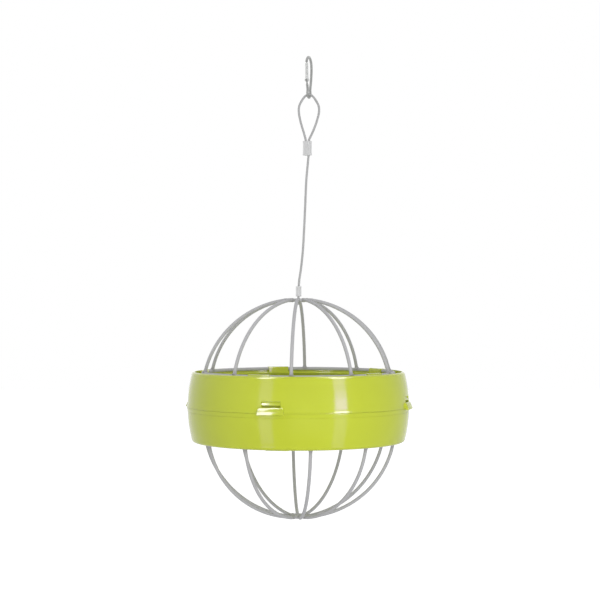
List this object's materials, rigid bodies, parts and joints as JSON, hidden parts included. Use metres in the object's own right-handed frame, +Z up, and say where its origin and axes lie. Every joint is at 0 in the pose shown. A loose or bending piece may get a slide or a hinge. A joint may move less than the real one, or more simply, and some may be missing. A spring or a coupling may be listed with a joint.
{
  "type": "hanging bird feeder",
  "caption": "Hanging feeder: an open ball of steel wires with a plastic snap-together waist band, on a wire rope with crimped ferrules and a spring-gate hook.",
  "frame": {"origin": "inside of the snap hook's top, where the feeder hangs on a branch, a ring or a bar", "axes": "+Z up, along the hanging direction; -Y is the front; +X is to the right seen from the front"},
  "size_m": [0.1746, 0.1746, 0.355],
  "materials": {
    "zinc_steel": "zinc plated, satin",
    "cage_steel": "galvanised wire, satin",
    "rope_steel": "stranded wire",
    "ferrule_aluminium": "satin",
    "lime_plastic": "glossy"
  },
  "bodies": {
    "snap_hook": {"hook_body": "zinc_steel", "gate_rivet": "zinc_steel"},
    "hook_gate": {"hook_gate": "zinc_steel"},
    "hanger": {"rope": "rope_steel", "upper_ferrule": "ferrule_aluminium", "lower_ferrule": "ferrule_aluminium"},
    "upper_half": {"upper_band": "lime_plastic", "upper_hoop": "cage_steel", "upper_pole_ring": "cage_steel", "upper_wire_1": "cage_steel", "upper_wire_2": "cage_steel", "upper_wire_3": "cage_steel", "upper_wire_4": "cage_steel", "upper_wire_5": "cage_steel", "upper_wire_6": "cage_steel", "upper_wire_7": "cage_steel", "upper_wire_8": "cage_steel", "upper_wire_9": "cage_steel"},
    "lower_half": {"lower_band": "lime_plastic", "lower_hoop": "cage_steel", "lower_pole_ring": "cage_steel", "lower_wire_1": "cage_steel", "lower_wire_2": "cage_steel", "lower_wire_3": "cage_steel", "lower_wire_4": "cage_steel", "lower_wire_5": "cage_steel", "lower_wire_6": "cage_steel", "lower_wire_7": "cage_steel", "lower_wire_8": "cage_steel", "lower_wire_9": "cage_steel", "lower_wire_10": "cage_steel"},
    "snap_tab_1": {"snap_tab_1": "lime_plastic"},
    "snap_tab_2": {"snap_tab_2": "lime_plastic"},
    "snap_tab_3": {"snap_tab_3": "lime_plastic"},
    "snap_tab_4": {"snap_tab_4": "lime_plastic"}
  },
  "joints": [
    {"name": "gate_hinge", "type": "hinge", "parent": "snap_hook", "child": "hook_gate", "pos_m": [-0.0015, -0.00371, -0.017], "axis": [-0.9272, 0.3746, 0], "range_deg": [0, 25], "stiffness_Nm_per_rad": 0.02},
    {"name": "hanger_swing", "type": "hinge", "parent": "snap_hook", "child": "hanger", "pos_m": [0, 0, -0.0275], "axis": [1, 0, 0], "range_deg": [-45, 45]},
    {"name": "ball_tilt", "type": "hinge", "parent": "hanger", "child": "upper_half", "pos_m": [-0.0081, 0, -0.1857], "axis": [0, 1, 0], "range_deg": [-25, 25]},
    {"name": "ball_open", "type": "slide", "parent": "upper_half", "child": "lower_half", "axis": [0, 0, -1], "range_m": [0, 0.06]},
    {"name": "snap_tab_1_press", "type": "hinge", "parent": "lower_half", "child": "snap_tab_1", "pos_m": [-0.02692, -0.07837, -0.2792], "axis": [-0.9724, 0.2334, 0], "range_deg": [0, 15], "stiffness_Nm_per_rad": 0.2},
    {"name": "snap_tab_2_press", "type": "hinge", "parent": "lower_half", "child": "snap_tab_2", "pos_m": [0.07027, -0.01882, -0.2792], "axis": [-0.2334, -0.9724, 0], "range_deg": [0, 15], "stiffness_Nm_per_rad": 0.2},
    {"name": "snap_tab_3_press", "type": "hinge", "parent": "lower_half", "child": "snap_tab_3", "pos_m": [0.01072, 0.07837, -0.2792], "axis": [0.9724, -0.2334, 0], "range_deg": [0, 15], "stiffness_Nm_per_rad": 0.2},
    {"name": "snap_tab_4_press", "type": "hinge", "parent": "lower_half", "child": "snap_tab_4", "pos_m": [-0.08647, 0.01882, -0.2792], "axis": [0.2334, 0.9724, 0], "range_deg": [0, 15], "stiffness_Nm_per_rad": 0.2}
  ]
}
